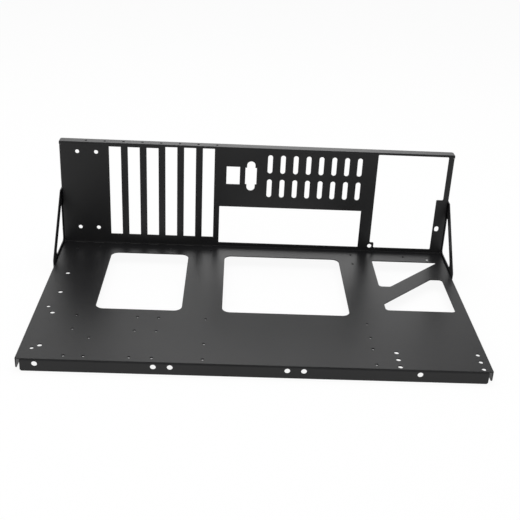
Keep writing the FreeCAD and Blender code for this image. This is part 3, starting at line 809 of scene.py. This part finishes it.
# The backdrop is brightest at its middle, which moves to the left higher up, and falls off to both sides.
# A pair named for a square holds limits of a squared distance.
BACKDROP_MIDDLE = 0.04
BACKDROP_LEAN = 0.06
BACKDROP_LEAN_UP = (0.44, 0.52)
BACKDROP_FALL = 0.75
BACKDROP_FALL_SQUARE = (0.0, 0.09)
# A dark flag hides the backdrop's upper right.
FLAG_SHADE = 0.95
FLAG_ACROSS = (0.18, 0.27)
FLAG_UP = (0.33, 0.42)
# A band of pale wall runs along the front and sides, and the flanks at both sides are brighter.
BAND_FOOT = (0.12, 0.36)
BAND_HEAD = (0.40, 0.70)
BAND_AHEAD = (0.0, 0.5)
FLANK_GAIN = 2.0
FLANK_ACROSS_SQUARE = (0.22, 0.42)
FLANK_FOOT = (0.20, 0.45)
FLANK_HEAD = (0.75, 0.95)


def seen_and_mirrored(board):
    """Two masks: rays from the camera, and rays from a mirroring or clear surface."""
    kinds = ("Glossy", "Transmission", "Camera")
    glossy, clear, seen = (board.node("ShaderNodeLightPath", out=f"Is {kind} Ray") for kind in kinds)
    return seen, glossy.above(clear)


def make_floor_white(settings):
    """Pale floor that is seen as near white and still takes the object's shadow."""
    board = start_material("floor_white")
    seen, mirrored = seen_and_mirrored(board)
    matt = board.node("ShaderNodeBsdfDiffuse", {}, {"Color": solid_colour(settings.floor)})
    white = board.node("ShaderNodeEmission", {}, {
        "Color": (1, 1, 1, 1), "Strength": seen + settings.floor_mirrored * mirrored,
    })
    share = settings.floor_white * seen.above(mirrored)
    mixed = board.node("ShaderNodeMixShader", {}, {0: share, 1: matt, 2: white})
    board.node("ShaderNodeOutputMaterial", {}, {"Surface": mixed})
    return board.owner


def mirrored_room(board, settings):
    """Brightness of the room in reflections, by direction: backdrop, flag, wall band and flanks."""
    direction = board.node("ShaderNodeTexCoord", out="Generated")
    across, ahead, up = (
        board.node("ShaderNodeSeparateXYZ", {}, {"Vector": direction}, out=axis) for axis in "XYZ"
    )
    aside = across - BACKDROP_MIDDLE + BACKDROP_LEAN * board.ramp(up, *BACKDROP_LEAN_UP)
    glow = board.ramp(ahead, *BACKDROP_AHEAD) * board.fade(up, *BACKDROP_HEAD)
    glow = glow * (1.0 - BACKDROP_FALL * board.ramp(aside * aside, *BACKDROP_FALL_SQUARE))
    flag = board.ramp(across, *FLAG_ACROSS) * board.ramp(up, *FLAG_UP)
    glow = glow * (1.0 - FLAG_SHADE * flag)
    band = board.ramp(up, *BAND_FOOT) * board.fade(up, *BAND_HEAD)
    band = board.fade(ahead, *BAND_AHEAD) * band
    flanks = board.ramp(across * across, *FLANK_ACROSS_SQUARE) * board.ramp(up, *FLANK_FOOT)
    flanks = flanks * board.fade(up, *FLANK_HEAD)
    walls = settings.walls * band.above(FLANK_GAIN * flanks)
    return settings.ceiling + (settings.backdrop - settings.ceiling) * glow + walls


def light_surroundings(settings):
    """Surroundings that are seen as white, give a softer light, and have their own looks in reflections."""
    world = bpy.data.worlds.new("studio_white")
    bpy.context.scene.world = world
    board = NodeBoard(world)
    seen, mirrored = seen_and_mirrored(board)
    room = mirrored_room(board, settings)
    strength = seen + mirrored * room + (1.0 - seen.above(mirrored)) * settings.sky
    background = board.node("ShaderNodeBackground", {}, {"Color": (1, 1, 1, 1), "Strength": strength})
    board.node("ShaderNodeOutputWorld", {}, {"Surface": background})


def add_lamp(name, place, target, size, power):
    """A square soft lamp that points at a target and doesn't show in reflections."""
    clear_selection()
    bpy.ops.object.light_add(type="AREA", location=place)
    lamp = bpy.context.object
    lamp.name = name
    lamp.data.shape = "SQUARE"
    lamp.data.size = size
    lamp.data.energy = power
    lamp.visible_glossy = False
    lamp.rotation_euler = (Vector(target) - Vector(place)).to_track_quat("-Z", "Y").to_euler()


def add_camera(settings):
    """The camera at the photograph's place, tilt and lean."""
    az, el, roll = settings.azimuth, settings.elevation, settings.roll
    ahead = Vector((math.sin(az) * math.cos(el), math.cos(az) * math.cos(el), -math.sin(el)))
    level = Vector((math.cos(az), -math.sin(az), 0.0))
    upright = level.cross(ahead)
    right = math.cos(roll) * level + math.sin(roll) * upright
    up = math.cos(roll) * upright - math.sin(roll) * level
    clear_selection()
    bpy.ops.object.camera_add(location=settings.camera_place)
    camera = bpy.context.object
    camera.name = "photo_camera"
    turn = Matrix((right, up, -ahead)).transposed()
    camera.rotation_euler = turn.to_euler()
    camera.data.sensor_width = FILM_WIDTH
    camera.data.lens = settings.lens
    bpy.context.scene.camera = camera


class TRAY_OT_add_stage(bpy.types.Operator):
    """Adds the floor, the light and the camera"""

    bl_idname = "tray.add_stage"
    bl_label = "Add Stage"

    def execute(self, context):
        settings = context.scene.tray_stage
        context.scene.view_settings.view_transform = "Standard"
        clear_selection()
        bpy.ops.mesh.primitive_plane_add(size=FLOOR_SIZE, location=(0, 0, CAD_BOX[0][2] - FLOOR_GAP))
        floor = context.object
        floor.name = "studio_floor"
        bpy.ops.object.transform_apply(location=True, rotation=False, scale=False)
        dress(floor, make_floor_white(settings))
        light_surroundings(settings)
        add_lamp("overhead_lamp", power=settings.overhead, **OVERHEAD_LAMP)
        add_lamp("front_lamp", power=settings.front, **FRONT_LAMP)
        add_camera(settings)
        return {"FINISHED"}


# Panel and registration.


class TRAY_PT_dress(bpy.types.Panel):
    """Buttons and settings of the tray"""

    bl_idname = "TRAY_PT_dress"
    bl_label = "Motherboard Tray"
    bl_space_type = "VIEW_3D"
    bl_region_type = "UI"
    bl_category = "Tray"

    def draw(self, context):
        layout = self.layout
        for operators, settings in SECTIONS:
            box = layout.box()
            for operator in operators:
                box.operator(operator.bl_idname)
            group = getattr(context.scene, settings)
            for name in group.__annotations__:
                box.prop(group, name)


SETTINGS = {
    "tray_coat": TrayCoatSettings,
    "tray_rivets": TrayRivetSettings,
    "tray_taps": TrayTapSettings,
    "tray_welds": TrayWeldSettings,
    "tray_stage": TrayStageSettings,
}
SECTIONS = [
    ((TRAY_OT_coat_sheet, TRAY_OT_coat_gussets), "tray_coat"),
    ((TRAY_OT_add_rivets,), "tray_rivets"),
    ((TRAY_OT_cut_threads,), "tray_taps"),
    ((TRAY_OT_weld_corners,), "tray_welds"),
    ((TRAY_OT_add_stage,), "tray_stage"),
]
OPERATORS = [operator for operators, _ in SECTIONS for operator in operators]


def register():
    """Registers the settings, operators and panel."""
    for name, group in SETTINGS.items():
        bpy.utils.register_class(group)
        setattr(bpy.types.Scene, name, bpy.props.PointerProperty(type=group))
    for cls in [*OPERATORS, TRAY_PT_dress]:
        bpy.utils.register_class(cls)


def unregister():
    """Removes the panel, operators and settings."""
    for cls in [TRAY_PT_dress, *reversed(OPERATORS)]:
        bpy.utils.unregister_class(cls)
    for name, group in SETTINGS.items():
        delattr(bpy.types.Scene, name)
        bpy.utils.unregister_class(group)


def main():
    """Registers the add-on, dresses the tray and sets the stage."""
    register()
    bpy.ops.tray.coat_sheet()
    bpy.ops.tray.coat_gussets()
    bpy.ops.tray.add_rivets()
    bpy.ops.tray.cut_threads()
    bpy.ops.tray.weld_corners()
    bpy.ops.tray.add_stage()


if __name__ == "__main__":
    main()
